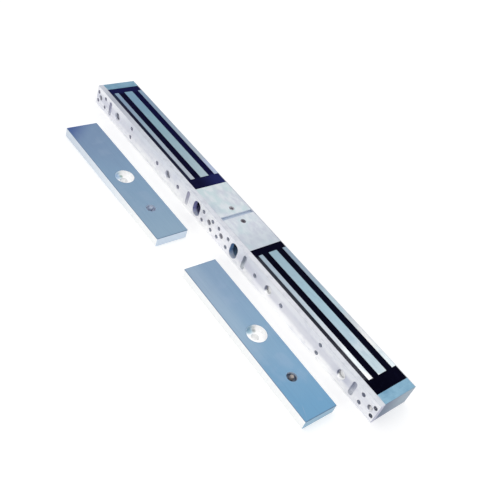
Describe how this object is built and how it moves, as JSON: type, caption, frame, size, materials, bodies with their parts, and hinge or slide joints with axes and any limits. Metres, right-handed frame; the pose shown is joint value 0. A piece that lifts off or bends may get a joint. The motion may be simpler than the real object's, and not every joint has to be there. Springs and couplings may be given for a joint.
{
  "type": "magnetic door lock",
  "caption": "Surface-mounted magnetic lock for a double door: a long housing with two potted magnets and a wiring bay, and two loose armature plates.",
  "frame": {"origin": "middle of the lock's underside, the side turned away from the armature plates in use", "axes": "+X along the lock towards the near door leaf, +Y from the mounting plate to the front, +Z towards the magnet faces"},
  "size_m": [0.5, 0.1144, 0.025],
  "materials": {
    "anodised_aluminium": "satin",
    "brushed_cover": "brushed",
    "block_aluminium": "satin",
    "core_steel": "ground",
    "armature_steel": "ground and zinc plated",
    "black_resin": "cast, semi-gloss",
    "bobbin_nylon": "moulded",
    "copper_wire": "enamelled wire",
    "screw_steel": "nickel plated",
    "dark_screw_steel": "blackened",
    "standoff_brass": "turned",
    "board_laminate": "solder mask",
    "terminal_plastic": "moulded",
    "varistor_coating": "dipped",
    "black_plastic": "moulded",
    "jumper_plastic": "moulded",
    "lead_sleeve": "extruded sleeve",
    "pin_steel": "polished",
    "spring_steel": "drawn wire"
  },
  "bodies": {
    "lock": {"mounting_plate": "anodised_aluminium", "housing": "anodised_aluminium", "centre_bridge": "block_aluminium", "fixing_screws": "screw_steel", "core_screws": "screw_steel", "cover_screws": "dark_screw_steel", "board_standoffs": "standoff_brass", "board_screws": "screw_steel", "terminal_screws": "screw_steel", "far_end_block": "block_aluminium", "far_core": "core_steel", "far_bobbin": "bobbin_nylon", "far_winding": "copper_wire", "far_resin": "black_resin", "far_cover": "brushed_cover", "far_coil_leads": "lead_sleeve", "far_circuit_board": "board_laminate", "far_terminal_block": "terminal_plastic", "far_varistor": "varistor_coating", "far_jumper_header": "black_plastic", "far_jumper_cap": "jumper_plastic", "near_end_block": "block_aluminium", "near_core": "core_steel", "near_bobbin": "bobbin_nylon", "near_winding": "copper_wire", "near_resin": "black_resin", "near_cover": "brushed_cover", "near_coil_leads": "lead_sleeve", "near_circuit_board": "board_laminate", "near_terminal_block": "terminal_plastic", "near_varistor": "varistor_coating", "near_jumper_header": "black_plastic", "near_jumper_cap": "jumper_plastic"},
    "far_armature": {"far_armature_plate": "armature_steel", "far_kick_off_plug": "screw_steel", "far_kick_off_spring": "spring_steel"},
    "near_armature": {"near_armature_plate": "armature_steel", "near_kick_off_plug": "screw_steel", "near_kick_off_spring": "spring_steel"},
    "far_pin": {"far_kick_off_pin": "pin_steel"},
    "near_pin": {"near_kick_off_pin": "pin_steel"}
  },
  "joints": [
    {"name": "far_armature_lift", "type": "slide", "parent": "lock", "child": "far_armature", "axis": [0, 0, 1], "range_m": [0, 0.06]},
    {"name": "near_armature_lift", "type": "slide", "parent": "lock", "child": "near_armature", "axis": [0, 0, 1], "range_m": [0, 0.06]},
    {"name": "far_pin_press", "type": "slide", "parent": "far_armature", "child": "far_pin", "axis": [0, 0, -1], "range_m": [0, 0.001], "stiffness_N_per_m": 2500, "springref_m": -0.002, "deforming": ["far_kick_off_spring"]},
    {"name": "near_pin_press", "type": "slide", "parent": "near_armature", "child": "near_pin", "axis": [0, 0, -1], "range_m": [0, 0.001], "stiffness_N_per_m": 2500, "springref_m": -0.002, "deforming": ["near_kick_off_spring"]}
  ]
}
